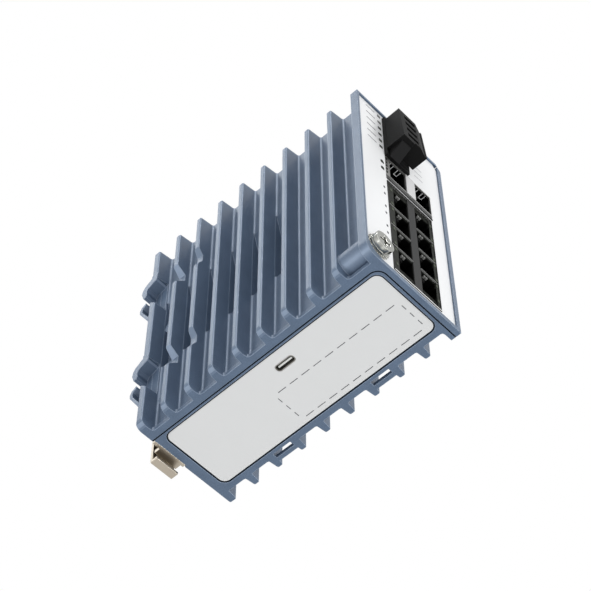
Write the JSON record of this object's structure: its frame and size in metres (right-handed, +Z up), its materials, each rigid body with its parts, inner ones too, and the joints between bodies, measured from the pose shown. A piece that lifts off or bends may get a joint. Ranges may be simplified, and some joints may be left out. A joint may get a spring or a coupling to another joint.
{
  "type": "rail-mounted network switch",
  "caption": "Slim die-cast network switch with cooling fins on both flanks, jacks and optical ports on its front and a sprung clip for a top-hat rail on its back.",
  "frame": {"origin": "middle of the rail's width in the plane of the clip's face that meets the rail, on the case's middle plane", "axes": "+X to the right seen from the front, +Y from the front to the back, +Z up"},
  "size_m": [0.0518, 0.1345, 0.1239],
  "materials": {
    "paint": "grained blue-grey powder coat",
    "seal": "black rubber cord",
    "print": "glossy light front film",
    "pale": "satin light grey film",
    "nickel": "nickel-plated steel",
    "zinc": "bright zinc-plated steel",
    "shield": "tinned steel sheet",
    "black": "black moulding",
    "bar": "dark grey moulding",
    "contact": "gold-plated contacts",
    "pin": "tinned pins",
    "light": "smoked light pipes",
    "board": "green circuit board",
    "chip": "black chip and coils",
    "pad": "grey heat-conducting pad",
    "can": "aluminium cans"
  },
  "bodies": {
    "case": {"left_case": "paint", "right_case": "paint", "case_seal": "seal", "cover_screws": "zinc", "front_plate": "print", "status_lights": "light", "light_board": "board", "jack_shield": "shield", "jack_block_1": "black", "jack_block_2": "black", "jack_block_3": "black", "jack_block_4": "black", "jack_spine": "bar", "jack_contacts": "contact", "port_lights": "light", "optical_cage": "shield", "optical_sockets": "black", "cage_bar": "bar", "cage_fingers": "shield", "supply_header": "black", "header_pins": "pin", "supply_plug": "black", "plug_screws": "zinc", "plug_clamps": "zinc", "usb_shell": "shield", "usb_tongue": "black", "underside_plate": "pale", "earth_star_washer": "zinc", "earth_washer": "zinc", "earth_screw": "zinc", "main_board": "board", "board_screws": "zinc", "switch_chip": "chip", "thermal_pad": "pad", "port_transformers": "chip", "supply_choke": "chip", "supply_capacitors": "can", "rail_bracket": "nickel", "latch_spring": "zinc", "bracket_screws": "zinc"},
    "latch": {"rail_latch": "nickel"}
  },
  "joints": [
    {"name": "latch_slide", "type": "slide", "parent": "case", "child": "latch", "axis": [0, 0, -1], "range_m": [0, 0.004], "stiffness_N_per_m": 1000, "deforming": ["latch_spring"]}
  ]
}
